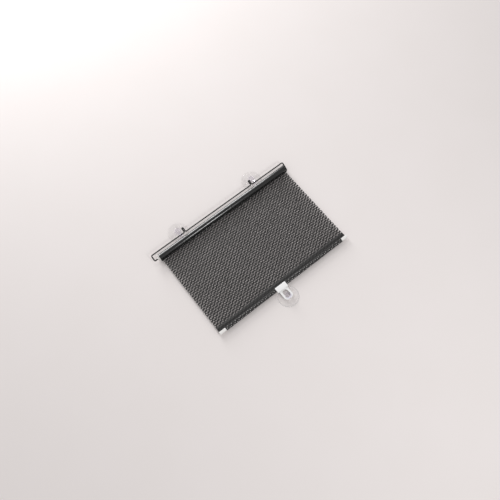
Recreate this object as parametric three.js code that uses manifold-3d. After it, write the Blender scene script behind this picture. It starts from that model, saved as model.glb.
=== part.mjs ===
// Sunshade for a car's side window: a spring roller in a slotted housing, hung from a wire bail.
// It lies on its suction cups with the film pulled out. Millimetres, +Z up.
// X runs along the roller, and the film is pulled towards -Y.
import * as THREE from 'three';
import { mergeGeometries, mergeVertices } from 'three/addons/utils/BufferGeometryUtils.js';
import Module from 'manifold-3d';

// Gap between pieces that touch or run in each other.
const clearance = 0.3;

// Film and its hem.
const filmWidth = 400;
const filmThickness = 0.4;
const pullOut = 233.7; // roller axis to the top of the hem, with the film right out
const weldDepth = 10.7; // height of the welded band above the bar's pocket
const weldThickness = 1.2; // three layers pressed together
const pocketCutback = 32; // the pocket is this much shorter than the film is wide, so the bar shows
const hemShift = 1.75; // the pocket and its bar sit this far to the right
const perforationColumns = 15;
const perforationRows = 8;
const perforationRadius = 2;

// Pull bar.
const barOverFilm = 5; // the bar is this much longer than the film is wide
const barWidth = 8;
const barThickness = 2.4;

// Housing tube, with a mouth between two lips for the film.
const housingOverFilm = 7; // the housing is this much longer than the film is wide
const housingRadius = 8.8;
const housingWall = 0.9;
const mouthDrop = 2.5; // the mouth lies this far below the roller axis
const mouthGap = 1;
const mouthReach = 1.1; // how far the lips stand out from the tube

// End plugs.
const plugFlangeRadius = 9.4; // a little more than the housing, so the flanges carry it
const plugFlangeThickness = 1.2;
const plugBossRadius = 4; // the left plug alone has a boss
const plugBossLength = 4;
const plugSpigotRadius = 2.6;
const plugSpigotLength = 10;

// Roller.
const tubeRadius = 4.8;
const tubeWall = 0.5;
const turnsLeft = 1.4; // turns of film still on the tube with the film right out
const bushLength = 9.2;

// Spring motor inside the roller.
const rodRadius = 1.25;
const rodSocketDepth = 5;
const collarLength = 6;
const anchorLength = 8;
const coilRadius = 2.9;
const coilWireRadius = 0.45;
const coilLength = 90;
const coilTurns = 20;
const coilLead = 1.4; // from the last turn to the straight end of the wire
const coilTail = 4; // straight end of the wire, held in the collar or the anchor

// Wire bail. Its two ends turn in and plug into the end plugs on the roller axis.
const wireRadius = 1.6;
const bailPlay = 7; // end play of the bail between the plugs, all of it at the left as it lies
const bailReach = 15.8; // roller axis to the long run of the wire
const bailTilt = THREE.MathUtils.degToRad(27); // above level, as it stands on its cups
const bailBend = 3.2; // corners of the long run
const legBend = 1.9; // tighter, so that the arms clear the plugs
const bailLeg = 14; // length of the ends that turn in
const earSpacing = 107.5; // middle of the bail to each hairpin ear
const earLength = 12.5;
const earBend = 2.4;
const earTurn = 1.75; // half the distance between the hairpin's two legs

// Suction cups.
const cupRadius = 27.5;
const cupRim = 0.9;
const cupSeal = 2; // width of the flat ring that seals on the glass
const cupHollow = 1.6;
const cupCrown = 5.4;
const neckRadius = 3;
const headRadius = 8;
const headHeight = 4.5;
const cupSpacing = 120; // middle of the bail to each upper cup
const cupBeyondWire = 16.3; // wire to the upper cups' middle, seen from above
const strapWidth = 8;
const strapThickness = 2.6;
const eyeletWall = 1.8;

// Clip on the pull bar, with the loop for the lower cup.
const clipX = -12.5; // the clip sits to the left of the film's middle
const clipWidth = 31;
const clipHeight = 14.3;
const clipWall = 1.3;
const clipMouth = 1.6; // less than the bar's thickness, so the clip holds on to the bar
const loopThickness = 2.2;
const loopRail = 5.2; // width of the loop's sides
const loopEnd = 5; // width of the loop's far end
const windowWidth = 14.2;
const windowLength = 21;
const windowStart = 2.1; // clip's lower edge to the window

// Lengths, heights and places that follow from those.
const housingLength = filmWidth + housingOverFilm;
const barLength = filmWidth + barOverFilm;
const pocketLength = filmWidth - pocketCutback;
const flangeFace = housingLength / 2 + clearance + plugFlangeThickness;
const rightArm = flangeFace + clearance + wireRadius;
const leftArm = -(flangeFace + plugBossLength + bailPlay + wireRadius);
const bailHalfLength = (rightArm - leftArm) / 2;
const bailMiddle = (rightArm + leftArm) / 2;
const axisHeight = plugFlangeRadius;
const filmHeight = axisHeight - mouthDrop;
const housingInner = housingRadius - housingWall;
const lipEnd = -(housingRadius + mouthReach);
const tubeInner = tubeRadius - tubeWall;
const rollInner = tubeRadius + clearance;
const rollRadius = rollInner + turnsLeft * filmThickness;
const bandBottom = -(pullOut + weldDepth);
const pocketWrap = clearance + filmThickness;
const barY = bandBottom - pocketWrap - barWidth / 2;
const clipTop = bandBottom + clearance;
const clipBottom = clipTop - clipHeight;
const windowNear = clipBottom - windowStart;
const windowFar = windowNear - windowLength;
const lowerCupY = windowFar + clearance + neckRadius;
const upperCupY = bailReach * Math.cos(bailTilt) + cupBeyondWire;
const wireY = bailReach * Math.cos(bailTilt);
const wireZ = axisHeight + bailReach * Math.sin(bailTilt);
const headBottom = filmHeight + loopThickness / 2 + clearance;
const headTop = headBottom + headHeight;
const plugInnerFace = filmWidth / 2 + 2 * clearance;
const spigotEnd = plugInnerFace - plugSpigotLength;
const bushBore = plugSpigotRadius + clearance;
const bushRadius = tubeInner - clearance;
const rodBore = rodRadius + clearance;
const wireBore = wireRadius + clearance;

const wasm = await Module();
wasm.setup();

// A closed geometry as a solid that can be joined and cut.
function solidOf(geometry) {
  const bare = geometry.index ? geometry.toNonIndexed() : geometry.clone();
  bare.deleteAttribute('normal');
  bare.deleteAttribute('uv');
  const merged = mergeVertices(bare, 1e-3);
  return new wasm.Manifold(new wasm.Mesh({
    numProp: 3,
    vertProperties: merged.attributes.position.array,
    triVerts: new Uint32Array(merged.index.array),
  }));
}

function geometryOf(solid) {
  const mesh = solid.getMesh();
  const shared = new THREE.BufferGeometry();
  shared.setAttribute('position', new THREE.BufferAttribute(new Float32Array(mesh.vertProperties), 3));
  shared.setIndex(new THREE.BufferAttribute(new Uint32Array(mesh.triVerts), 1));
  const flat = shared.toNonIndexed();
  flat.computeVertexNormals();
  return flat;
}

// Points of an arc about (cx, cy), from one angle to another, both ends included.
function arc(cx, cy, radius, from, to, steps) {
  return Array.from({ length: steps + 1 }, (_, i) => {
    const angle = from + ((to - from) * i) / steps;
    return new THREE.Vector2(cx + radius * Math.cos(angle), cy + radius * Math.sin(angle));
  });
}

function circle(radius, sides, cx = 0, cy = 0) {
  return arc(cx, cy, radius, 0, 2 * Math.PI, sides).slice(0, -1);
}

// Outline of a strip with round ends, long in its first direction.
function roundEnded(cx, cy, length, width, steps = 6) {
  const radius = width / 2;
  const reach = length / 2 - radius;
  return [
    ...arc(cx + reach, cy, radius, -Math.PI / 2, Math.PI / 2, steps),
    ...arc(cx - reach, cy, radius, Math.PI / 2, 1.5 * Math.PI, steps),
  ];
}

function rectangle(x0, x1, y0, y1) {
  return [
    new THREE.Vector2(x0, y0),
    new THREE.Vector2(x1, y0),
    new THREE.Vector2(x1, y1),
    new THREE.Vector2(x0, y1),
  ];
}

// Outline of a strip of even thickness that follows a line of points.
function ribbon(line, thickness) {
  const offset = (i, side) => {
    const before = line[Math.max(i - 1, 0)];
    const after = line[Math.min(i + 1, line.length - 1)];
    const into = line[i].clone().sub(before).normalize();
    const out = after.clone().sub(line[i]).normalize();
    const along = into.add(out).normalize();
    const leg = (i > 0 ? line[i].clone().sub(before) : after.clone().sub(line[i])).normalize();
    const mitre = (side * thickness) / 2 / Math.abs(along.dot(leg));
    return new THREE.Vector2(line[i].x - along.y * mitre, line[i].y + along.x * mitre);
  };
  const places = line.map((_, i) => i);
  return [...places.map((i) => offset(i, 1)), ...places.reverse().map((i) => offset(i, -1))];
}

// An outline in the Y-Z plane, drawn out along X from x0 to x1.
function alongX(outline, x0, x1, holes = []) {
  const shape = new THREE.Shape(outline);
  shape.holes = holes.map((hole) => new THREE.Path(hole));
  const geometry = new THREE.ExtrudeGeometry(shape, { depth: x1 - x0, bevelEnabled: false });
  const yUpX = new THREE.Matrix4().makeBasis(
    new THREE.Vector3(0, 1, 0),
    new THREE.Vector3(0, 0, 1),
    new THREE.Vector3(1, 0, 0),
  );
  return geometry.applyMatrix4(yUpX).translate(x0, 0, 0);
}

// An outline in the X-Y plane, drawn up from z0 to z1.
function alongZ(outline, z0, z1, holes = []) {
  const shape = new THREE.Shape(outline);
  shape.holes = holes.map((hole) => new THREE.Path(hole));
  return new THREE.ExtrudeGeometry(shape, { depth: z1 - z0, bevelEnabled: false }).translate(0, 0, z0);
}

// A profile of [place along X, radius] pairs, turned about the X axis.
function turnedAboutX(profile, sides) {
  const points = profile.map(([along, radius]) => new THREE.Vector2(radius, along));
  return new THREE.LatheGeometry(points, sides).rotateZ(-Math.PI / 2);
}

// A profile of [height, radius] pairs, turned about the Z axis.
function turnedAboutZ(profile, sides) {
  const points = profile.map(([height, radius]) => new THREE.Vector2(radius, height));
  return new THREE.LatheGeometry(points, sides).rotateX(Math.PI / 2);
}

// A route that takes one step to each of its legs, so that a tight bend gets short steps.
class Route extends THREE.Curve {
  constructor(points) {
    super();
    this.points = points;
  }

  getPoint(t, target = new THREE.Vector3()) {
    const at = t * (this.points.length - 1);
    const leg = Math.min(Math.floor(at + 1e-6), this.points.length - 2);
    return target.lerpVectors(this.points[leg], this.points[leg + 1], at - leg);
  }

  getPointAt(t, target) {
    return this.getPoint(t, target);
  }

  getTangentAt(t, target = new THREE.Vector3()) {
    const last = this.points.length - 1;
    const at = Math.round(t * last);
    const into = this.points[Math.max(at, 1)].clone().sub(this.points[Math.max(at, 1) - 1]).normalize();
    const leg = Math.min(at, last - 1);
    const out = this.points[leg + 1].clone().sub(this.points[leg]).normalize();
    return target.copy(into).add(out).normalize();
  }
}

// Round wire that follows a route.
function wire(points, radius, sides) {
  return new THREE.ExtrudeGeometry(new THREE.Shape(circle(radius, sides)), {
    steps: points.length - 1,
    extrudePath: new Route(points),
    bevelEnabled: false,
  });
}

// Points of a flat route through corners [x, y, bend radius], each bent through its radius.
function bentRoute(corners, stepsPerBend) {
  const points = [];
  corners.forEach(([x, y, radius], i) => {
    const here = new THREE.Vector2(x, y);
    if (!radius) {
      points.push(here);
      return;
    }
    const into = here.clone().sub(new THREE.Vector2(...corners[i - 1])).normalize();
    const out = new THREE.Vector2(...corners[i + 1]).sub(here).normalize();
    const side = Math.sign(into.cross(out));
    const half = Math.acos(THREE.MathUtils.clamp(into.dot(out), -1, 1)) / 2;
    const start = here.clone().addScaledVector(into, -radius * Math.tan(half));
    const centre = start.clone().add(new THREE.Vector2(-into.y, into.x).multiplyScalar(side * radius));
    const from = Math.atan2(start.y - centre.y, start.x - centre.x);
    points.push(...arc(centre.x, centre.y, radius, from, from + side * 2 * half, stepsPerBend));
  });
  return points
    .filter((p, i) => i === 0 || p.distanceTo(points[i - 1]) > 1e-3)
    .map((p) => new THREE.Vector3(p.x, p.y, 0));
}

const finishes = {
  glossBlack: { color: 0x161617, roughness: 0.18, metalness: 0 },
  whitePlastic: { color: 0xf1f1ee, roughness: 0.35, metalness: 0 },
  blackPlastic: { color: 0x1b1b1c, roughness: 0.5, metalness: 0 },
  blackWire: { color: 0x121212, roughness: 0.35, metalness: 0.3 },
  clearCup: { color: 0xdde4e6, roughness: 0.08, metalness: 0, transparent: true, opacity: 0.45 },
  blackFilm: { color: 0x2b2a2b, roughness: 0.55, metalness: 0 },
  rollerSteel: { color: 0xa9adb0, roughness: 0.35, metalness: 0.9 },
  springSteel: { color: 0x84878a, roughness: 0.3, metalness: 1 },
  naturalPlastic: { color: 0xe4e0d2, roughness: 0.45, metalness: 0 },
};

function piece(name, geometry, finish) {
  const mesh = new THREE.Mesh(geometry, new THREE.MeshStandardMaterial(finishes[finish]));
  mesh.name = name;
  return mesh;
}

// The tube's outer wall runs right round from the lower lip to the upper one, and back inside.
function housing() {
  const lipTop = -mouthDrop + mouthGap / 2;
  const lipBottom = -mouthDrop - mouthGap / 2;
  const at = (radius, z) => Math.atan2(z, -Math.sqrt(radius * radius - z * z));
  const upperOut = at(housingRadius, lipTop + housingWall);
  const upperIn = at(housingInner, lipTop);
  const lowerIn = at(housingInner, lipBottom);
  const lowerOut = at(housingRadius, lipBottom - housingWall);
  const full = 2 * Math.PI;
  const lip = housingWall / 2;
  const lipCentre = lipEnd + lip;
  const outline = [
    ...arc(0, 0, housingRadius, lowerOut, upperOut + full, 48),
    ...arc(lipCentre, lipTop + lip, lip, Math.PI / 2, 1.5 * Math.PI, 6),
    ...arc(0, 0, housingInner, upperIn + full, lowerIn, 48),
    ...arc(lipCentre, lipBottom - lip, lip, Math.PI / 2, 1.5 * Math.PI, 6),
  ];
  return alongX(outline, -housingLength / 2, housingLength / 2);
}

// Outward from the inside: spigot with its socket, disc in the tube's end, flange, boss, wire bore.
function plug(bossLength, boreBottom, socketDepth) {
  const flangeInner = housingLength / 2 + clearance;
  const flangeOuter = flangeInner + plugFlangeThickness;
  const discRadius = housingInner - clearance;
  const socket = socketDepth
    ? [[spigotEnd + socketDepth, 0], [spigotEnd + socketDepth, rodBore], [spigotEnd, rodBore]]
    : [[spigotEnd, 0]];
  const boss = bossLength
    ? [[flangeOuter, plugBossRadius], [flangeOuter + bossLength, plugBossRadius]]
    : [];
  return turnedAboutX([
    ...socket,
    [spigotEnd, plugSpigotRadius],
    [plugInnerFace, plugSpigotRadius],
    [plugInnerFace, discRadius],
    [flangeInner, discRadius],
    [flangeInner, plugFlangeRadius],
    [flangeOuter, plugFlangeRadius],
    ...boss,
    [flangeOuter + bossLength, wireBore],
    [boreBottom, wireBore],
    [boreBottom, 0],
  ], 32);
}

// A plain ring on the roller's axis.
function ring(inner, outer, x0, x1, sides = 24) {
  return alongX(circle(outer, sides), x0, x1, [circle(inner, sides)]);
}

// The turns that stay on the tube: a snail's outline round the tube's bore.
function filmTurns() {
  const steps = 40;
  const start = -Math.PI / 2;
  const snail = Array.from({ length: steps + 1 }, (_, i) => {
    const radius = rollRadius - (filmThickness * i) / steps;
    const angle = start + (2 * Math.PI * i) / steps;
    return new THREE.Vector2(radius * Math.cos(angle), radius * Math.sin(angle));
  });
  return alongX(snail, -filmWidth / 2, filmWidth / 2, [circle(rollInner, steps)]);
}

// Collar and anchor share one shape: a bored ring with a hole for the coil wire's straight end.
function springSeat(x0, x1) {
  const seat = circle(bushRadius, 24);
  const holes = [circle(rodBore, 16), circle(coilWireRadius + clearance, 10, coilRadius, 0)];
  return alongX(seat, x0, x1, holes);
}

// The coil, with an end that bends out of line at each side. The second half mirrors the first.
function torsionSpring(coilMiddle) {
  const halfSteps = (coilTurns / 2) * 10;
  const tailTurn = Math.PI * coilTurns;
  const wound = tailTurn - 0.42;
  const half = [];
  for (let i = 0; i <= halfSteps; i += 1) {
    half.push([(i / halfSteps) * (coilLength / 2), (i / halfSteps) * wound]);
  }
  half.push([coilLength / 2 + coilLead / 2, tailTurn - 0.12]);
  half.push([coilLength / 2 + coilLead, tailTurn]);
  half.push([coilLength / 2 + coilLead + coilTail, tailTurn]);
  const mirrored = half.slice(1).reverse().map(([x, turn]) => [-x, -turn]);
  const points = [...mirrored, ...half].map(([x, turn]) => new THREE.Vector3(
    coilMiddle + x,
    coilRadius * Math.cos(turn),
    coilRadius * Math.sin(turn),
  ));
  return wire(points, coilWireRadius, 6);
}

// Film from the roll, through the mouth, out to the hem, with its rows of perforations.
function filmPanel() {
  const bend = new THREE.Vector2(-(housingInner - 1), -mouthDrop);
  const touch = rollRadius + clearance + filmThickness / 2;
  const down = Math.atan2(mouthDrop, -bend.x) - Math.asin(touch / bend.length());
  const free = Math.sqrt(bend.lengthSq() - touch * touch);
  const onRoll = bend.clone().add(new THREE.Vector2(Math.cos(down), Math.sin(down)).multiplyScalar(free));
  const end = new THREE.Vector2(-pullOut + clearance, -mouthDrop);
  const sheet = alongX(ribbon([end, bend, onRoll], filmThickness), -filmWidth / 2, filmWidth / 2);
  const pitchX = filmWidth / (perforationColumns + 0.5);
  const openLength = pullOut + lipEnd;
  const pitchY = openLength / perforationRows;
  const cutters = [];
  for (let row = 0; row < perforationRows; row += 1) {
    for (let column = 0; column < perforationColumns; column += 1) {
      const x = -filmWidth / 2 + pitchX * (column + 0.5 + (row % 2) / 2);
      const y = lipEnd - pitchY * (row + 0.5);
      const low = -mouthDrop - filmThickness;
      cutters.push(alongZ(circle(perforationRadius, 6, x, y), low, low + 2 * filmThickness));
    }
  }
  return geometryOf(solidOf(sheet).subtract(solidOf(mergeGeometries(cutters))));
}

// Band, pocket and full-width lower edge of the film, notched where the clip grips the bar.
function filmHem() {
  const middle = hemShift;
  const x0 = middle - pocketLength / 2;
  const x1 = middle + pocketLength / 2;
  const wall = filmThickness;
  const pocket = roundEnded(barY, 0, barWidth + 2 * pocketWrap, barThickness + 2 * pocketWrap);
  const cavity = roundEnded(barY, 0, barWidth + 2 * clearance, barThickness + 2 * clearance);
  const band = rectangle(bandBottom - wall / 2, -pullOut, -weldThickness / 2, weldThickness / 2);
  const edge = rectangle(bandBottom - clearance, -pullOut, -filmThickness / 2, filmThickness / 2);
  const gripX = clipWidth / 2 + clearance;
  const grip = rectangle(barY - barWidth, clipTop + clearance, -barThickness * 2, barThickness * 2);
  const solid = solidOf(alongX(pocket, x0, x1))
    .add(solidOf(alongX(band, x0, x1)))
    .add(solidOf(alongX(edge, -filmWidth / 2, filmWidth / 2)))
    .subtract(solidOf(alongX(cavity, x0 - 1, x1 + 1)))
    .subtract(solidOf(alongX(grip, clipX - gripX, clipX + gripX)));
  return geometryOf(solid);
}

function pullBar() {
  const x0 = hemShift - barLength / 2;
  return alongX(roundEnded(barY, 0, barWidth, barThickness), x0, x0 + barLength);
}

// A channel that snaps over the bar, joined to a flat loop with a long window.
function barClip() {
  const half = barThickness / 2 + clearance + clipWall;
  const soft = clipWall / 2;
  const body = [
    ...arc(clipTop - soft, half - soft, soft, 0, Math.PI / 2, 3),
    ...arc(clipBottom + soft, half - soft, soft, Math.PI / 2, Math.PI, 3),
    ...arc(clipBottom + soft, -half + soft, soft, Math.PI, 1.5 * Math.PI, 3),
    ...arc(clipTop - soft, -half + soft, soft, 1.5 * Math.PI, 2 * Math.PI, 3),
  ];
  const cavity = roundEnded(barY, 0, barWidth + 2 * clearance, barThickness + 2 * clearance);
  const mouth = rectangle(barY, clipTop + 1, -clipMouth / 2, clipMouth / 2);
  const x0 = clipX - clipWidth / 2;
  const x1 = clipX + clipWidth / 2;
  const loopHalf = windowWidth / 2 + loopRail;
  const far = windowFar - loopEnd;
  const round = loopHalf * 0.72;
  const loop = [
    new THREE.Vector2(clipX + loopHalf, clipBottom + soft),
    new THREE.Vector2(clipX - loopHalf, clipBottom + soft),
    ...arc(clipX - loopHalf + round, far + round, round, Math.PI, 1.5 * Math.PI, 8),
    ...arc(clipX + loopHalf - round, far + round, round, 1.5 * Math.PI, 2 * Math.PI, 8),
  ];
  const windowMiddle = (windowNear + windowFar) / 2;
  const opening = roundEnded(windowMiddle, clipX, windowLength, windowWidth, 10)
    .map((p) => new THREE.Vector2(p.y, p.x));
  const plate = alongZ(loop, -loopThickness / 2, loopThickness / 2, [opening]);
  const solid = solidOf(alongX(body, x0, x1))
    .subtract(solidOf(alongX(cavity, x0 - 1, x1 + 1)))
    .subtract(solidOf(alongX(mouth, x0 - 1, x1 + 1)))
    .add(solidOf(plate));
  return geometryOf(solid);
}

// The bail in its own plane: in from one plug, out along the arm, along the run, and back.
function wireBail() {
  const left = bailMiddle - bailHalfLength;
  const right = bailMiddle + bailHalfLength;
  const tip = bailReach + earLength;
  const ear = (x) => [
    [x - earTurn, bailReach, earBend],
    [x - earTurn, tip, earTurn],
    [x + earTurn, tip, earTurn],
    [x + earTurn, bailReach, earBend],
  ];
  return wire(bentRoute([
    [left + bailLeg, 0, 0],
    [left, 0, legBend],
    [left, bailReach, bailBend],
    ...ear(bailMiddle - earSpacing),
    ...ear(bailMiddle + earSpacing),
    [right, bailReach, bailBend],
    [right, 0, legBend],
    [right - bailLeg, 0, 0],
  ], 4), wireRadius, 10);
}

// Disc with a shallow hollow under it, a neck, and a mushroom head.
function cupBody() {
  const sealInner = cupRadius - cupSeal;
  const under = [0, 0.35, 0.65, 0.85, 1].map((share) => [
    cupHollow * (1 - share * share),
    sealInner * share,
  ]);
  const over = [0.97, 0.85, 0.7, 0.55, 0.4, 0.27].map((share) => [
    cupRim + (cupCrown - cupRim) * Math.cos((Math.PI / 2) * share),
    cupRadius * share,
  ]);
  return turnedAboutZ([
    ...under,
    [0, cupRadius - cupRim / 3],
    [cupRim / 3, cupRadius],
    [cupRim * 0.8, cupRadius],
    ...over,
    [cupCrown, neckRadius],
    [headBottom, neckRadius],
    [headBottom, headRadius - 0.6],
    [headBottom + 0.8, headRadius],
    [headTop - 1.6, headRadius],
    [headTop - 0.5, headRadius - 1],
    [headTop, headRadius - 2.6],
    [headTop, 0],
  ], 36);
}

// An upper cup has a strap from its head to an eyelet round the wire.
function upperCup() {
  const eyeletY = -cupBeyondWire;
  const eyeletRadius = wireBore + eyeletWall;
  const root = new THREE.Vector2(-headRadius * 0.6, headBottom + headHeight / 2);
  const strap = ribbon([new THREE.Vector2(eyeletY, wireZ), root], strapThickness);
  const x0 = -strapWidth / 2;
  const solid = solidOf(cupBody())
    .add(solidOf(alongX(strap, x0, x0 + strapWidth)))
    .add(solidOf(alongX(circle(eyeletRadius, 20, eyeletY, wireZ), x0, x0 + strapWidth)))
    .subtract(solidOf(alongX(circle(wireBore, 16, eyeletY, wireZ), x0 - 1, x0 + strapWidth + 1)));
  return geometryOf(solid);
}

// Everything on the roller axis: housing, plugs, roller and spring motor.
function rollerGroup() {
  const group = new THREE.Group();
  group.position.z = axisHeight;
  const legEnd = bailHalfLength - bailLeg;
  const leftPlug = piece(
    'left_end_plug',
    plug(plugBossLength, legEnd - bailMiddle - clearance, rodSocketDepth),
    'whitePlastic',
  );
  leftPlug.rotation.z = Math.PI;
  const tubeEnd = filmWidth / 2;
  const collarEnd = tubeEnd - bushLength - 4 * clearance;
  const coilStart = collarEnd - collarLength - 2 * clearance;
  const coilMiddle = -(coilStart - coilLead - coilLength / 2);
  const anchorStart = coilMiddle + coilLength / 2 + coilLead + 2 * clearance;
  const rodStart = -(spigotEnd + rodSocketDepth - clearance);
  group.add(
    piece('roller_housing', housing(), 'glossBlack'),
    leftPlug,
    piece('right_end_plug', plug(0, legEnd + bailMiddle - clearance, 0), 'blackPlastic'),
    piece('roller_tube', ring(tubeInner, tubeRadius, -tubeEnd, tubeEnd, 32), 'rollerSteel'),
    piece('film_turns', filmTurns(), 'blackFilm'),
    piece('left_bush', ring(bushBore, bushRadius, -tubeEnd, -tubeEnd + bushLength), 'naturalPlastic'),
    piece('right_bush', ring(bushBore, bushRadius, tubeEnd - bushLength, tubeEnd), 'naturalPlastic'),
    piece('spring_rod', alongX(circle(rodRadius, 14), rodStart, anchorStart + anchorLength), 'springSteel'),
    piece('spring_collar', springSeat(-collarEnd, -collarEnd + collarLength), 'naturalPlastic'),
    piece('torsion_spring', torsionSpring(coilMiddle), 'springSteel'),
    piece('spring_anchor', springSeat(anchorStart, anchorStart + anchorLength), 'naturalPlastic'),
    piece('film_panel', filmPanel(), 'blackFilm'),
  );
  return group;
}

// Everything that is pulled: hem, bar, clip and the lower cup.
function pullGroup() {
  const group = new THREE.Group();
  const onFilm = new THREE.Group();
  onFilm.position.z = filmHeight;
  onFilm.add(
    piece('film_hem', filmHem(), 'blackFilm'),
    piece('pull_bar', pullBar(), 'whitePlastic'),
    piece('bar_clip', barClip(), 'whitePlastic'),
  );
  const lowerCup = piece('bottom_cup', geometryOf(solidOf(cupBody())), 'clearCup');
  lowerCup.position.set(clipX, lowerCupY, 0);
  group.add(onFilm, lowerCup);
  return group;
}

// The bail, turned up about the roller axis, and the two cups on it.
function bailGroup() {
  const group = new THREE.Group();
  const bail = piece('wire_bail', wireBail(), 'blackWire');
  bail.position.z = axisHeight;
  bail.rotation.x = bailTilt;
  group.add(bail);
  [['left_cup', -1], ['right_cup', 1]].forEach(([name, side]) => {
    const cup = piece(name, upperCup(), 'clearCup');
    cup.position.set(bailMiddle + side * cupSpacing, upperCupY, 0);
    group.add(cup);
  });
  return group;
}

const sunshade = new THREE.Group();
sunshade.add(rollerGroup(), pullGroup(), bailGroup());
// The origin is under the middle of the whole, on the surface that it lies on.
sunshade.position.set(-bailMiddle, -(lowerCupY - cupRadius + upperCupY + cupRadius) / 2, 0);

export default sunshade;
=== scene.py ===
"""Looks of a roller sunshade for a car's side window, lying on a pale table with its film out."""
import math

import bpy
from mathutils import Matrix, Vector


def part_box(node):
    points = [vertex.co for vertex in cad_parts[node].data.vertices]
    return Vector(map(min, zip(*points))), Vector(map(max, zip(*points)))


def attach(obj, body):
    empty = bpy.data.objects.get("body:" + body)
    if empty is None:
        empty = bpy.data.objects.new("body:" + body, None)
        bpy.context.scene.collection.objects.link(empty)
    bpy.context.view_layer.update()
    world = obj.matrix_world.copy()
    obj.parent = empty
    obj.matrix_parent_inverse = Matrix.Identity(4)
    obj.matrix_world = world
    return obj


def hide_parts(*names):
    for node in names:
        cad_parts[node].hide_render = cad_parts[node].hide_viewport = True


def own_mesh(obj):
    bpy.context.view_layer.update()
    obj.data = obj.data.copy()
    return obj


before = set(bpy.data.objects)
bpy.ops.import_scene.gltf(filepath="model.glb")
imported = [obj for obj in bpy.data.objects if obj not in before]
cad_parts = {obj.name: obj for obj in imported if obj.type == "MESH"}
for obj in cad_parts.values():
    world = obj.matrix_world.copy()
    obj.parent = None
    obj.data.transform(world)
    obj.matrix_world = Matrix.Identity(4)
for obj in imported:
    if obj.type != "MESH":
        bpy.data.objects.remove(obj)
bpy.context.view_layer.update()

# Shapes below are in millimetres from the point on the table under the roller's middle.
# X runs along the roller, the film is pulled towards -Y, Z is up.
MM = 0.001
tube_low, tube_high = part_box("roller_tube")
MIDDLE = Vector(((tube_low[0] + tube_high[0]) / 2, (tube_low[1] + tube_high[1]) / 2, 0))
AXIS_Z = 9.4
FILM_Z = 6.9
FILM_HALF = 200.0
FILM_THICK = 0.35
LIP_Y = -9.9
BAND_Y = -233.7
POCKET_Y = -244.4
BAR_Y = -249.1
CLIP_X = -12.5
CLIP_HALF = 15.5
WINDOW_NEAR = -260.5
WINDOW_FAR = -281.5
LOOP_END = -286.5
CUP_R = 27.5
CUP_ASIDE = 120
EAR_ASIDE = 107.5
NECK_R = 3.0
UPPER_CUP_Y = 30.378
LOWER_CUP_Y = -278.2
BAIL_X = -5.35
BAIL_HALF = 212.25
BAIL_REACH = 15.8
BAIL_TILT = math.radians(27)
WIRE_R = 1.6
WIRE_BORE = 1.9


# Shapes.


def arc(cx, cy, radius, start, end, steps):
    """Points of an arc, both ends included. Angles in degrees."""
    turns = [math.radians(start + (end - start) * i / steps) for i in range(steps + 1)]
    return [(cx + radius * math.cos(a), cy + radius * math.sin(a)) for a in turns]


def round_ended(cx, cy, length, width, steps=10):
    """Outline of a flat strip with round ends."""
    r = width / 2
    reach = length / 2 - r
    return arc(cx + reach, cy, r, -90, 90, steps) + arc(cx - reach, cy, r, 90, 270, steps)


def make(name, points, faces, material, body, uvs=None, sharp=35):
    """A mesh piece from points in millimetres, shaded smooth up to the sharp angle."""
    mesh = bpy.data.meshes.new(name)
    mesh.from_pydata([tuple(MIDDLE + Vector(p) * MM) for p in points], [], faces)
    if uvs:
        layer = mesh.uv_layers.new(name="film")
        for loop in mesh.loops:
            layer.data[loop.index].uv = uvs[loop.vertex_index]
    mesh.polygons.foreach_set("use_smooth", [True] * len(mesh.polygons))
    mesh.set_sharp_from_angle(angle=math.radians(sharp))
    mesh.materials.append(material)
    piece = bpy.data.objects.new(name, mesh)
    bpy.context.scene.collection.objects.link(piece)
    if body:
        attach(piece, body)
    return piece


def along_x(outline, x0, x1):
    """Points and faces of a closed Y-Z outline drawn out along X, with both ends closed."""
    n = len(outline)
    points = [(x, y, z) for x in (x0, x1) for y, z in outline]
    faces = [tuple(range(n))[::-1], tuple(range(n, 2 * n))]
    for i in range(n):
        j = (i + 1) % n
        faces.append((i, j, n + j, n + i))
    return points, faces


def sleeve_along_x(outer, inner, x0, x1):
    """The same for an outline with a hole whose own outline has as many points."""
    n = len(outer)
    points = [(x, y, z) for x in (x0, x1) for ring in (outer, inner) for y, z in ring]
    faces = []
    for i in range(n):
        j = (i + 1) % n
        faces.append((i, j, 2 * n + j, 2 * n + i))
        faces.append((n + j, n + i, 3 * n + i, 3 * n + j))
        faces.append((j, i, n + i, n + j))
        faces.append((2 * n + i, 2 * n + j, 3 * n + j, 3 * n + i))
    return points, faces


def turned(profile, steps, place):
    """A profile of (along, radius) pairs turned about an axis. place puts (along, c, s) in space."""
    points, rings = [], []
    for along, radius in profile:
        if radius < 1e-6:
            rings.append([len(points)])
            points.append(place(along, 0, 0))
            continue
        rings.append(list(range(len(points), len(points) + steps)))
        for i in range(steps):
            a = 2 * math.pi * i / steps
            points.append(place(along, radius * math.cos(a), radius * math.sin(a)))
    faces = []
    for low, high in zip(rings, rings[1:]):
        for i in range(steps):
            j = (i + 1) % steps
            corners = [low[i % len(low)], low[j % len(low)], high[j % len(high)], high[i % len(high)]]
            faces.append(tuple(dict.fromkeys(corners)))
    return points, faces


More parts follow.
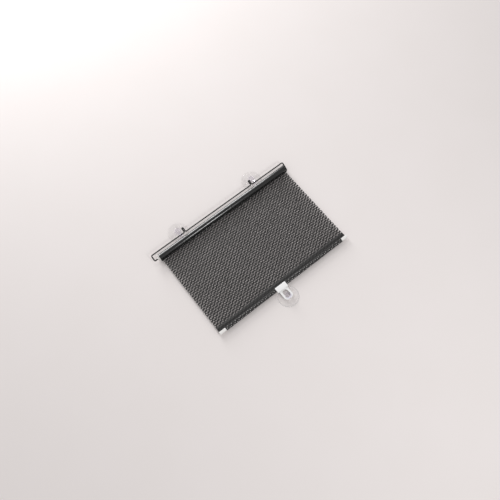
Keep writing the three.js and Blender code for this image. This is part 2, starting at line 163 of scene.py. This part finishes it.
def round_wire(route, radius, sides):
    """Round wire along a route of points, with its ends closed."""
    points, faces = [], []
    spots = [Vector(p) for p in route]
    side = None
    for k, spot in enumerate(spots):
        along = (spots[min(k + 1, len(spots) - 1)] - spots[max(k - 1, 0)]).normalized()
        if side is None:
            side = along.orthogonal().normalized()
        side = (side - along * side.dot(along)).normalized()
        other = along.cross(side)
        for i in range(sides):
            a = 2 * math.pi * i / sides
            points.append(tuple(spot + side * (radius * math.cos(a)) + other * (radius * math.sin(a))))
    for k in range(len(spots) - 1):
        for i in range(sides):
            j = (i + 1) % sides
            faces.append((k * sides + i, k * sides + j, (k + 1) * sides + j, (k + 1) * sides + i))
    last = len(spots) * sides
    faces += [tuple(range(sides))[::-1], tuple(range(last - sides, last))]
    return points, faces


def bent(corners, steps):
    """A flat route through (x, y, bend radius) corners, each bent through its radius."""
    route = []
    for i, (x, y, radius) in enumerate(corners):
        here = Vector((x, y))
        if not radius:
            route.append(here)
            continue
        into = (here - Vector(corners[i - 1][:2])).normalized()
        out = (Vector(corners[i + 1][:2]) - here).normalized()
        turn = 1 if into.x * out.y - into.y * out.x > 0 else -1
        half = math.acos(max(-1, min(1, into.dot(out)))) / 2
        start = here - into * radius * math.tan(half)
        centre = start + Vector((-into.y, into.x)) * turn * radius
        a0 = math.atan2(start.y - centre.y, start.x - centre.x)
        for k in range(steps + 1):
            a = a0 + turn * 2 * half * k / steps
            route.append(centre + Vector((math.cos(a), math.sin(a))) * radius)
    return [p for i, p in enumerate(route) if i == 0 or (p - route[i - 1]).length > 1e-3]


def soften(piece, width, segments=3):
    """The small round that a mould or an extrusion leaves on every edge."""
    edge = piece.modifiers.new("edge", "BEVEL")
    edge.width = width * MM
    edge.segments = segments
    edge.limit_method = "ANGLE"
    edge.angle_limit = math.radians(40)
    edge.harden_normals = False


def fuse(piece, *others):
    """Others become one solid with the piece, as one moulding."""
    for other in others:
        join = piece.modifiers.new("join", "BOOLEAN")
        join.operation = "UNION"
        join.solver = "EXACT"
        join.object = other
    bpy.context.view_layer.update()
    seen = piece.evaluated_get(bpy.context.evaluated_depsgraph_get())
    whole = bpy.data.meshes.new_from_object(seen)
    piece.modifiers.clear()
    piece.data = whole
    whole.polygons.foreach_set("use_smooth", [True] * len(whole.polygons))
    whole.set_sharp_from_angle(angle=math.radians(35))
    for other in others:
        bpy.data.objects.remove(other)
    return piece


# Materials, each for what the real one is.


def linear(code):
    """An sRGB hex colour as linear values."""
    parts = [int(code[i : i + 2], 16) / 255 for i in (1, 3, 5)]
    return tuple(c / 12.92 if c <= 0.04045 else ((c + 0.055) / 1.055) ** 2.4 for c in parts) + (1.0,)


def add(tree, kind, settings=None, sockets=None):
    """A node with its settings, and its sockets set or linked. Returns its first output."""
    made = tree.nodes.new("ShaderNode" + kind)
    for key, value in (settings or {}).items():
        setattr(made, key, value)
    for key, value in (sockets or {}).items():
        if isinstance(value, bpy.types.NodeSocket):
            tree.links.new(value, made.inputs[key])
        else:
            made.inputs[key].default_value = value
    return made.outputs[0] if made.outputs else made


def new_material(name):
    """A material and its empty node tree."""
    material = bpy.data.materials.new(name)
    material.use_nodes = True
    material.node_tree.nodes.clear()
    return material, material.node_tree


def grain(tree, size_mm, stretch=(1, 1, 1)):
    """Noise whose grain has a real size in millimetres, drawn longer where stretch is below 1."""
    place = add(tree, "TexCoord").node.outputs["Object"]
    place = add(tree, "VectorMath", {"operation": "MULTIPLY"}, {0: place, 1: stretch})
    return add(tree, "TexNoise", None, {"Vector": place, "Scale": 1000 / size_mm, "Detail": 2.0})


def between(tree, factor, low, high):
    """A value that runs from low to high as the factor runs from 0.3 to 0.7."""
    return add(tree, "MapRange", None, {"Value": factor, 1: 0.3, 2: 0.7, 3: low, 4: high})


def tinted(tree, factor, dark, light):
    """A colour between two others."""
    mixed = add(tree, "Mix", {"data_type": "RGBA"}, {0: factor, 6: linear(dark), 7: linear(light)})
    return mixed.node.outputs[2]


def finish_with(tree, shader):
    """The shader becomes the material's surface."""
    add(tree, "OutputMaterial", None, {"Surface": shader})


def moulded(name, dark, light, rough, wave_mm, depth_mm, ior=1.49):
    """A moulded or drawn plastic: an even colour, a faint waviness and a fine sheen change."""
    material, tree = new_material(name)
    wave = grain(tree, wave_mm)
    fine = grain(tree, wave_mm / 8)
    bump = add(tree, "Bump", None, {"Height": wave, "Distance": depth_mm * MM, "Strength": 0.6})
    finish_with(tree, add(tree, "BsdfPrincipled", None, {
        "Base Color": tinted(tree, wave, dark, light),
        "Roughness": between(tree, fine, rough[0], rough[1]),
        "IOR": ior,
        "Normal": bump,
    }))
    return material


def lacquered_black_pvc():
    """Extruded black PVC under clear lacquer: a mirror gloss, with faint lines along the tube."""
    material, tree = new_material("lacquered black PVC extrusion")
    lines = grain(tree, 1.2, stretch=(0.01, 1, 1))
    cloud = grain(tree, 40)
    bump = add(tree, "Bump", None, {"Height": lines, "Distance": 0.01 * MM, "Strength": 0.5})
    finish_with(tree, add(tree, "BsdfPrincipled", None, {
        "Base Color": tinted(tree, cloud, "#0a0a0b", "#111112"),
        "Roughness": between(tree, lines, 0.14, 0.2),
        "IOR": 1.54,
        "Coat Weight": 0.35,
        "Coat Roughness": 0.1,
        "Normal": bump,
    }))
    return material


# The film's holes lie in zigzag rows, two to a cell: one step along a row, one step to the next
# row, both in millimetres, and the places of the two holes as shares of those steps.
ROW_STEP = (8.0, 5.94)
NEXT_ROW = (-3.34, 6.35)
HOLES_IN_CELL = ((0.625, 0.25, 0), (0.375, 0.75, 0))
HOLE_STRETCH = (1.48, 1.0)


def perforations(tree, size):
    """1 in a hole of the film and 0 in its web. The size is half a hole's length down the film.

    Films of this kind have round holes of about 1.5 mm, too fine to be seen in a picture of the
    whole shade. They are drawn coarser, 5 to 7 mm apart, in rows on a slant, and half as long
    again across the film as down it.
    """
    flat = add(tree, "UVMap", {"uv_map": "film"})
    flat = add(tree, "VectorMath", {"operation": "SCALE"}, {0: flat, "Scale": 1000})
    area = NEXT_ROW[0] * ROW_STEP[1] - NEXT_ROW[1] * ROW_STEP[0]
    steps = []
    for x, y in ((ROW_STEP[1], -ROW_STEP[0]), (-NEXT_ROW[1], NEXT_ROW[0])):
        count = add(tree, "VectorMath", {"operation": "DOT_PRODUCT"}, {0: flat, 1: (x / area, y / area, 0)})
        steps.append(count.node.outputs["Value"])
    counted = add(tree, "CombineXYZ", None, {0: steps[0], 1: steps[1]})
    reaches = []
    for aside in HOLES_IN_CELL:
        off = add(tree, "VectorMath", {"operation": "ADD"}, {0: counted, 1: aside})
        off = add(tree, "VectorMath", {"operation": "FRACTION"}, {0: off})
        off = add(tree, "VectorMath", {"operation": "SUBTRACT"}, {0: off, 1: (0.5, 0.5, 0)})
        place = []
        for i in (0, 1):
            part = add(tree, "VectorMath", {"operation": "DOT_PRODUCT"},
                       {0: off, 1: (NEXT_ROW[i] / HOLE_STRETCH[i], ROW_STEP[i] / HOLE_STRETCH[i], 0)})
            place.append(part.node.outputs["Value"])
        reach = add(tree, "CombineXYZ", None, {0: place[0], 1: place[1]})
        reach = add(tree, "VectorMath", {"operation": "LENGTH"}, {0: reach})
        reaches.append(reach.node.outputs["Value"])
    nearest = add(tree, "Math", {"operation": "MINIMUM"}, {0: reaches[0], 1: reaches[1]})
    return add(tree, "Math", {"operation": "LESS_THAN"}, {0: nearest, 1: size})


def film_surface(tree, hole=None, dark="#1b1a1a", light="#242222"):
    """Calendered black PVC: a low sheen with a fine pressed grain."""
    fine = grain(tree, 0.8)
    cloud = grain(tree, 35)
    height = fine
    if hole:
        height = add(tree, "Math", {"operation": "SUBTRACT"}, {0: fine, 1: hole})
    bump = add(tree, "Bump", None, {"Height": height, "Distance": 0.06 * MM, "Strength": 0.7})
    return add(tree, "BsdfPrincipled", None, {
        "Base Color": tinted(tree, hole or cloud, dark, light),
        "Roughness": between(tree, fine, 0.5, 0.62),
        "IOR": 1.53,
        "Normal": bump,
    })


def perforated_film(name, hole_size):
    """Black PVC film punched with rows of holes, so that what lies behind shows through them."""
    material, tree = new_material(name)
    hole = perforations(tree, hole_size)
    clear = add(tree, "BsdfTransparent")
    finish_with(tree, add(tree, "MixShader", None, {0: hole, 1: film_surface(tree), 2: clear}))
    return material


def welded_film():
    """Three layers of the film welded flat: the holes close and leave dents that look paler."""
    material, tree = new_material("welded black PVC film")
    finish_with(tree, film_surface(tree, perforations(tree, 1.6), "#0d0c0c", "#343232"))
    return material


def clear_soft_pvc():
    """Clear plasticised PVC from a polished mould. The thin disc is nearly unseen face on, with
    a darker line where its rim curves away. The thick head shows the stuff's faint violet."""
    material, tree = new_material("clear soft PVC")
    wave = grain(tree, 20)
    bump = add(tree, "Bump", None, {"Height": wave, "Distance": 0.004 * MM, "Strength": 0.2})
    body = add(tree, "BsdfPrincipled", None, {
        "Base Color": tinted(tree, wave, "#f4f6f7", "#fafcfc"),
        "Roughness": between(tree, wave, 0.03, 0.07),
        "IOR": 1.53,
        "Transmission Weight": 1.0,
        "Normal": bump,
    })
    place = add(tree, "TexCoord").node.outputs["Object"]
    height = add(tree, "SeparateXYZ", None, {"Vector": place}).node.outputs["Z"]
    thick = add(tree, "MapRange", None, {"Value": height, 1: 5.5 * MM, 2: 7 * MM, 3: 0.0, 4: 1.0})
    tint = add(tree, "Mix", {"data_type": "RGBA"}, {0: thick, 6: linear("#fdfdfd"), 7: linear("#f8f7fa")})
    clear = add(tree, "BsdfTransparent", None, {"Color": tint.node.outputs[2]})
    turned_away = add(tree, "LayerWeight", None, {"Blend": 0.3}).node.outputs["Facing"]
    share = add(tree, "MapRange", None, {"Value": turned_away, 1: 0.15, 2: 1.0, 3: 0.0, 4: 0.4})
    share = add(tree, "Math", {"operation": "MULTIPLY_ADD"}, {0: thick, 1: 0.05, 2: share})
    finish_with(tree, add(tree, "MixShader", None, {0: share, 1: clear, 2: body}))
    return material


def steel(name, dark, light, rough, stretch):
    """Drawn or rolled steel: fine marks along its length."""
    material, tree = new_material(name)
    marks = grain(tree, 0.6, stretch=stretch)
    bump = add(tree, "Bump", None, {"Height": marks, "Distance": 0.01 * MM, "Strength": 0.4})
    finish_with(tree, add(tree, "BsdfPrincipled", None, {
        "Base Color": tinted(tree, marks, dark, light),
        "Roughness": between(tree, marks, rough[0], rough[1]),
        "Metallic": 1.0,
        "Normal": bump,
    }))
    return material


def pale_card():
    """Pale card on the table: matt, with the faint cloudiness of pulp."""
    material, tree = new_material("pale card")
    cloud = grain(tree, 160)
    fibre = grain(tree, 2)
    bump = add(tree, "Bump", None, {"Height": fibre, "Distance": 0.02 * MM, "Strength": 0.3})
    finish_with(tree, add(tree, "BsdfPrincipled", None, {
        "Base Color": tinted(tree, cloud, "#efe9e7", "#f2eceb"),
        "Roughness": between(tree, fibre, 0.75, 0.85),
        "IOR": 1.45,
        "Normal": bump,
    }))
    return material


HOUSING_PVC = lacquered_black_pvc()
FILM = perforated_film("perforated black PVC film", 1.66)
WRAPPED_FILM = perforated_film("perforated black PVC film, two layers", 0.85)
WELD = welded_film()
CLEAR = clear_soft_pvc()
WHITE_NYLON = moulded("white nylon", "#ecebe8", "#f4f3f1", (0.3, 0.42), 5, 0.03)
WHITE_CLIP = moulded("white polypropylene", "#f7f7f7", "#fdfdfd", (0.22, 0.34), 5, 0.03)
WHITE_STRIP = moulded("white PVC strip", "#ebe9e7", "#f3f2f0", (0.35, 0.48), 3, 0.02)
BLACK_PLUG = moulded("black nylon", "#141415", "#1d1d1e", (0.35, 0.5), 4, 0.03)
DIPPED_WIRE = moulded("black dipped steel wire", "#080808", "#0e0e0e", (0.5, 0.62), 3, 0.04, 1.5)
ACETAL = moulded("natural acetal", "#ded9cb", "#eae6da", (0.4, 0.5), 4, 0.02)
TUBE_STEEL = steel("zinc plated tube", "#a9adb0", "#c4c8ca", (0.3, 0.42), (0.03, 1, 1))
SPRING_STEEL = steel("oil tempered spring wire", "#6f7276", "#8b8e92", (0.22, 0.34), (1, 0.2, 0.2))


# The shade.


def housing_tube():
    """The slotted tube: a round back, and a mouth between two rolled lips for the film."""
    half, outer, inner, lip = 203.5, 8.8, 7.9, 0.45
    top, bottom = -2.0, -3.0

    def turn(radius, height):
        return math.degrees(math.atan2(height, -math.sqrt(radius * radius - height * height)))

    outline = arc(0, 0, outer, turn(outer, bottom - 2 * lip), turn(outer, top + 2 * lip) + 360, 120)
    outline += arc(LIP_Y + lip, top + lip, lip, 90, 270, 8)
    outline += arc(0, 0, inner, turn(inner, top) + 360, turn(inner, bottom), 100)
    outline += arc(LIP_Y + lip, bottom - lip, lip, 90, 270, 8)
    outline = [(y, z + AXIS_Z) for y, z in outline]
    points, faces = along_x(outline, -half, half)
    tube = make("housing_tube", points, faces, HOUSING_PVC, "housing", sharp=50)
    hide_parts("roller_housing")


def end_plugs():
    """A white plug with a boss at the left, a flush black one at the right."""

    def on_roller(along, c, s):
        return (along, c, s + AXIS_Z)

    left = [(-195.6, 0), (-195.6, 1.55), (-190.6, 1.55), (-190.6, 2.6), (-200.6, 2.6), (-200.6, 7.6),
            (-203.8, 7.6), (-203.8, 9.2), (-204.0, 9.4), (-204.8, 9.4), (-205.0, 9.2), (-205.0, 4.3),
            (-205.3, 4.0), (-208.7, 4.0), (-209.0, 3.7), (-209.0, 2.1), (-208.8, WIRE_BORE),
            (-203.3, WIRE_BORE), (-203.3, 0)]
    points, faces = turned(left, 64, on_roller)
    plug = make("left_plug", points, faces, WHITE_NYLON, "housing")
    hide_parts("left_end_plug")
    right = [(190.6, 0), (190.6, 2.6), (200.6, 2.6), (200.6, 7.6), (203.8, 7.6), (203.8, 9.2),
             (204.0, 9.4), (204.8, 9.4), (205.0, 9.2), (205.0, 2.1), (204.8, WIRE_BORE),
             (192.6, WIRE_BORE), (192.6, 0)]
    points, faces = turned(right, 64, on_roller)
    plug = make("right_plug", points, faces, BLACK_PLUG, "housing")
    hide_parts("right_end_plug")


def wire_bail():
    """One length of wire: inturned ends, two arms, a long run, and two hairpin ears on it."""
    tip, turn, inturned = 28.3, 1.75, 14
    at_leg, at_arm, at_ear = 1.9, 3.2, 2.4
    left, right = BAIL_X - BAIL_HALF, BAIL_X + BAIL_HALF
    corners = [(left + inturned, 0, 0), (left, 0, at_leg), (left, BAIL_REACH, at_arm)]
    for x in (BAIL_X - EAR_ASIDE, BAIL_X + EAR_ASIDE):
        corners += [(x - turn, BAIL_REACH, at_ear), (x - turn, tip, turn), (x + turn, tip, turn),
                    (x + turn, BAIL_REACH, at_ear)]
    corners += [(right, BAIL_REACH, at_arm), (right, 0, at_leg), (right - inturned, 0, 0)]
    route = [(p.x, p.y * math.cos(BAIL_TILT), AXIS_Z + p.y * math.sin(BAIL_TILT))
             for p in bent(corners, 10)]
    points, faces = round_wire(route, WIRE_R, 20)
    wire = make("bail_wire", points, faces, DIPPED_WIRE, "bail")
    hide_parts("wire_bail")


def cup_profile():
    """Half a suction cup, pressed flat: hollow, seal, domed disc, neck and mushroom head."""
    profile = [(1.6 * (1 - s * s), 25.5 * s) for s in [i / 10 for i in range(11)]]
    profile += [(0, 27.2), (0.12, 27.42), (0.35, 27.5), (0.62, 27.47), (0.8, 27.3)]
    for i in range(1, 17):
        s = 0.985 - (0.985 - 0.17) * i / 16
        profile.append((0.9 + 4.5 * math.cos(math.pi / 2 * s), CUP_R * s))
    profile += [(5.5, 3.8), (5.8, 3.2), (6.2, NECK_R), (8.0, NECK_R), (8.3, 3.4), (8.3, 7.2)]
    profile += [(8.45, 7.6), (8.8, 7.9), (9.3, 8.0), (11.0, 8.0), (11.7, 7.75), (12.3, 7.1), (12.65, 6.2)]
    profile += [(12.8, 5.2), (12.8, 4.0), (12.4, 3.4), (12.3, 0)]
    return profile


def suction_cup(name, x, y, body, node, strap):
    """A clear cup. The two upper ones have a strap that ends in an eyelet round the wire."""

    def on_cup(along, c, s):
        return (x + c, y + s, along)

    points, faces = turned(cup_profile(), 96, on_cup)
    cup = make(name, points, faces, CLEAR, None)
    if strap:
        wire_y = BAIL_REACH * math.cos(BAIL_TILT)
        wire_z = AXIS_Z + BAIL_REACH * math.sin(BAIL_TILT)
        root_y, root_z = y - 4.8, 10.55
        away = Vector((root_y - wire_y, root_z - wire_z)).normalized()
        edge = Vector((-away.y, away.x)) * 1.3
        start = Vector((wire_y, wire_z)) + away * 2.6
        end = Vector((root_y, root_z))
        outline = [tuple(p) for p in (start + edge, end + edge, end - edge, start - edge)]
        half = 4
        points, faces = along_x(outline, x - half, x + half)
        band = make("band", points, [f[::-1] for f in faces], CLEAR, None)
        soften(band, 0.4, 2)
        ring_out = arc(wire_y, wire_z, 3.7, 0, 360, 40)[:-1]
        ring_in = arc(wire_y, wire_z, WIRE_BORE, 0, 360, 40)[:-1]
        points, faces = sleeve_along_x(ring_out, ring_in, x - half, x + half)
        eyelet = make("eyelet", points, faces, CLEAR, None)
        cup = fuse(cup, band, eyelet)
    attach(cup, body)
    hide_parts(node)


def ripple(x, y):
    """The slight wave that a rolled film keeps, in millimetres."""
    fade = min(1, (LIP_Y - y) / 40)
    return 0.22 * fade * math.sin(x / 31 + y / 57) + 0.12 * fade * math.sin(x / 13 - y / 23)


def film():
    """The film from the housing's mouth to its hem."""
    columns, rows = 80, 48
    points, uvs, faces = [], [], []
    for side in (1, -1):
        for r in range(rows + 1):
            y = LIP_Y + (BAND_Y - LIP_Y) * r / rows
            for c in range(columns + 1):
                x = -FILM_HALF + 2 * FILM_HALF * c / columns
                wave = ripple(x, y) * min(1, (y - BAND_Y) / 30)
                points.append((x, y, FILM_Z + wave + side * FILM_THICK / 2))
                uvs.append((x * MM, y * MM))
    wide = columns + 1
    layer = wide * (rows + 1)
    for r in range(rows):
        for c in range(columns):
            a = r * wide + c
            faces.append((a, a + wide, a + wide + 1, a + 1))
            faces.append((layer + a, layer + a + 1, layer + a + wide + 1, layer + a + wide))
    rim = [c for c in range(wide)] + [r * wide + columns for r in range(1, rows + 1)]
    rim += [rows * wide + c for c in range(columns - 1, -1, -1)] + [r * wide for r in range(rows - 1, 0, -1)]
    for a, b in zip(rim, rim[1:] + rim[:1]):
        faces.append((a, b, layer + b, layer + a))
    out = make("film", points, faces, FILM, "housing", uvs)
    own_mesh(out)
    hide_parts("film_panel")


def film_in_housing():
    """The short run of film between the roll and the mouth."""
    line = [(LIP_Y, FILM_Z), (-6.9, FILM_Z)] + arc(0, AXIS_Z, 6.16, 233, 270, 6)
    outline = [(y, z + FILM_THICK / 2) for y, z in line] + [(y, z - FILM_THICK / 2) for y, z in line[::-1]]
    points, faces = along_x(outline, -FILM_HALF, FILM_HALF)
    uvs = [(p[0] * MM, p[1] * MM) for p in points]
    short = make("film_in_housing", points, [f[::-1] for f in faces], FILM, "housing", uvs)


def hem():
    """The welded band at the film's lower edge, and the pocket that wraps the pull bar."""
    wide = [(POCKET_Y - 0.3, FILM_Z - 0.2), (POCKET_Y - 0.3, FILM_Z + 0.2), (POCKET_Y + 0.2, FILM_Z + 0.55),
            (BAND_Y - 0.6, FILM_Z + 0.6), (BAND_Y, FILM_Z + 0.25), (BAND_Y, FILM_Z - 0.25),
            (BAND_Y - 0.6, FILM_Z - 0.6), (POCKET_Y + 0.2, FILM_Z - 0.55)]
    points, faces = along_x(wide, -FILM_HALF, FILM_HALF)
    uvs = [(p[0] * MM, p[1] * MM) for p in points]
    band = make("hem_weld", points, faces, WELD, "puller", uvs)
    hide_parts("film_hem")
    outer = round_ended(BAR_Y, FILM_Z, 9.4, 3.8, 12)
    inner = round_ended(BAR_Y, FILM_Z, 8.6, 3.0, 12)
    beside_clip = CLIP_HALF + 0.3
    for name, x0, x1 in (("pocket_left", -182.25, CLIP_X - beside_clip),
                         ("pocket_right", CLIP_X + beside_clip, 185.75)):
        points, faces = sleeve_along_x(outer, inner, x0, x1)
        uvs = [(p[0] * MM, (p[1] + (2 if p[2] > FILM_Z else 0)) * MM) for p in points]
        sleeve = make(name, points, faces, WRAPPED_FILM, "puller", uvs)


def pull_bar():
    """The flat strip that stiffens the hem, longer than the film is wide."""
    points, faces = along_x(round_ended(BAR_Y, FILM_Z, 8, 2.4, 12), -200.75, 204.25)
    bar = make("pull_bar_strip", points, faces, WHITE_STRIP, "puller")
    soften(bar, 0.25, 2)
    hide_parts("pull_bar")


def to_edge(direction, half_width, top, bottom, corner, round_top):
    """Where a ray from the middle meets a rectangle with rounded lower corners, or all four."""
    across, low, high = half_width - corner, bottom + corner, top - corner
    near, far = 0.0, 60.0
    for _ in range(40):
        mid = (near + far) / 2
        x, y = abs(direction.x * mid), direction.y * mid
        inside = x <= half_width and bottom <= y <= top
        if x > across and y < low:
            inside = inside and math.hypot(x - across, y - low) <= corner
        if round_top and x > across and y > high:
            inside = inside and math.hypot(x - across, y - high) <= corner
        near, far = (mid, far) if inside else (near, mid)
    return direction * near


def clip():
    """The clip round the bar: a channel with its mouth towards the film, and a loop for the cup."""
    top, low, half = -244.1, -258.4, 2.8
    outside = arc(top - 0.65, FILM_Z + half - 0.65, 0.65, 20, 90, 5)
    outside += arc(low + 1.2, FILM_Z + half - 1.2, 1.2, 90, 180, 6)
    outside += arc(low + 1.2, FILM_Z - half + 1.2, 1.2, 180, 270, 6)
    outside += arc(top - 0.65, FILM_Z - half + 0.65, 0.65, 270, 340, 5)
    mouth = [(top - 0.3, FILM_Z - 0.8), (top - 0.9, FILM_Z - 0.8)]
    inside = arc(BAR_Y + 3.0, FILM_Z, 1.5, -50, -90, 4) + arc(BAR_Y - 2.8, FILM_Z, 1.5, 270, 90, 10)
    inside += arc(BAR_Y + 3.0, FILM_Z, 1.5, 90, 50, 4)
    outline = outside + mouth + inside + [(y, 2 * FILM_Z - z) for y, z in mouth[::-1]]
    points, faces = along_x(outline, CLIP_X - CLIP_HALF, CLIP_X + CLIP_HALF)
    channel = make("clip_channel", points, faces, WHITE_CLIP, None)
    soften(channel, 0.35, 3)
    n = 96
    window = (WINDOW_NEAR + WINDOW_FAR) / 2
    reach = (WINDOW_NEAR - WINDOW_FAR) / 2
    rings = []
    for k in range(n):
        a = 2 * math.pi * k / n
        d = Vector((math.cos(a), math.sin(a)))
        rings.append((to_edge(d, 12.3, low + 0.8 - window, LOOP_END - window, 8.9, False),
                      to_edge(d, 7.1, reach, -reach, 6.2, True)))
    points = []
    for z in (FILM_Z + 1.1, FILM_Z - 1.1):
        for which in (0, 1):
            points += [(CLIP_X + ring[which].x, window + ring[which].y, z) for ring in rings]
    faces = []
    for i in range(n):
        j = (i + 1) % n
        faces.append((i, j, n + j, n + i))
        faces.append((2 * n + j, 2 * n + i, 3 * n + i, 3 * n + j))
        faces.append((j, i, 2 * n + i, 2 * n + j))
        faces.append((n + i, n + j, 3 * n + j, 3 * n + i))
    loop = make("clip_loop", points, faces, WHITE_CLIP, "puller")
    soften(loop, 0.45, 3)
    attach(channel, "puller")
    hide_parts("bar_clip")


def inner_works():
    """Roller, spring and bushes stay as they are in the housing, each in its own stuff."""
    stuff = {
        "roller_tube": TUBE_STEEL,
        "film_turns": WELD,
        "left_bush": ACETAL,
        "right_bush": ACETAL,
        "spring_collar": ACETAL,
        "spring_anchor": ACETAL,
        "spring_rod": SPRING_STEEL,
        "torsion_spring": SPRING_STEEL,
    }
    for name, material in stuff.items():
        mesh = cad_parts[name].data
        mesh.materials.clear()
        mesh.materials.append(material)


housing_tube()
end_plugs()
wire_bail()
suction_cup("left_upper_cup", BAIL_X - CUP_ASIDE, UPPER_CUP_Y, "left_hanger", "left_cup", True)
suction_cup("right_upper_cup", BAIL_X + CUP_ASIDE, UPPER_CUP_Y, "right_hanger", "right_cup", True)
suction_cup("lower_cup", CLIP_X, LOWER_CUP_Y, "lower_cup", "bottom_cup", False)
film()
film_in_housing()
hem()
pull_bar()
clip()
inner_works()


# Table, light and camera.


def table():
    """The table top, five metres square, in metres."""
    half = 2.5
    corners = [(-half, -half, 0), (half, -half, 0), (half, half, 0), (-half, half, 0)]
    mesh = bpy.data.meshes.new("table_top")
    mesh.from_pydata(corners, [], [(0, 1, 2, 3)])
    mesh.materials.append(pale_card())
    top = bpy.data.objects.new("table_top", mesh)
    bpy.context.scene.collection.objects.link(top)


def softbox(name, away, azimuth, elevation, width, height, power):
    """A soft light, seen from the shade at that azimuth from +Y towards +X and that elevation."""
    data = bpy.data.lights.new(name, "AREA")
    data.shape = "RECTANGLE"
    data.size, data.size_y = width, height
    data.energy = power
    box = bpy.data.objects.new(name, data)
    a, e = math.radians(azimuth), math.radians(elevation)
    where = Vector((math.sin(a) * math.cos(e), math.cos(a) * math.cos(e), math.sin(e))) * away
    box.matrix_world = Matrix.Translation(where) @ where.to_track_quat("Z", "Y").to_matrix().to_4x4()
    bpy.context.scene.collection.objects.link(box)


def studio():
    """A window in two heights behind the shade, a small light in front, and a pale room."""
    softbox("window", 2.6, 8, 14, 1.15, 1.1, 50)
    softbox("window_top", 2.6, 8, 40, 1.4, 0.9, 13)
    softbox("front_light", 1.6, 168, 47, 0.25, 0.31, 4.8)
    world = bpy.data.worlds.new("room")
    world.use_nodes = True
    room = world.node_tree.nodes["Background"]
    room.inputs["Color"].default_value = (1.0, 0.985, 0.98, 1)
    room.inputs["Strength"].default_value = 0.49
    bpy.context.scene.world = world


def camera():
    """The photograph's viewpoint."""
    data = bpy.data.cameras.new("camera")
    data.lens = 40.18
    data.sensor_width = 36
    data.clip_end = 20
    eye = bpy.data.objects.new("camera", data)
    right = Vector((0.7864, -0.6171, -0.0285))
    up = Vector((0.5842, 0.7278, 0.3592))
    back = right.cross(up)
    where = MIDDLE + Vector((-295.4, -547.3, 1322.5)) * MM
    turn = Matrix((right, up, back)).transposed().to_4x4()
    eye.matrix_world = Matrix.Translation(where) @ turn
    bpy.context.scene.collection.objects.link(eye)
    bpy.context.scene.camera = eye


table()
studio()
camera()
bpy.context.scene.view_settings.view_transform = "Standard"
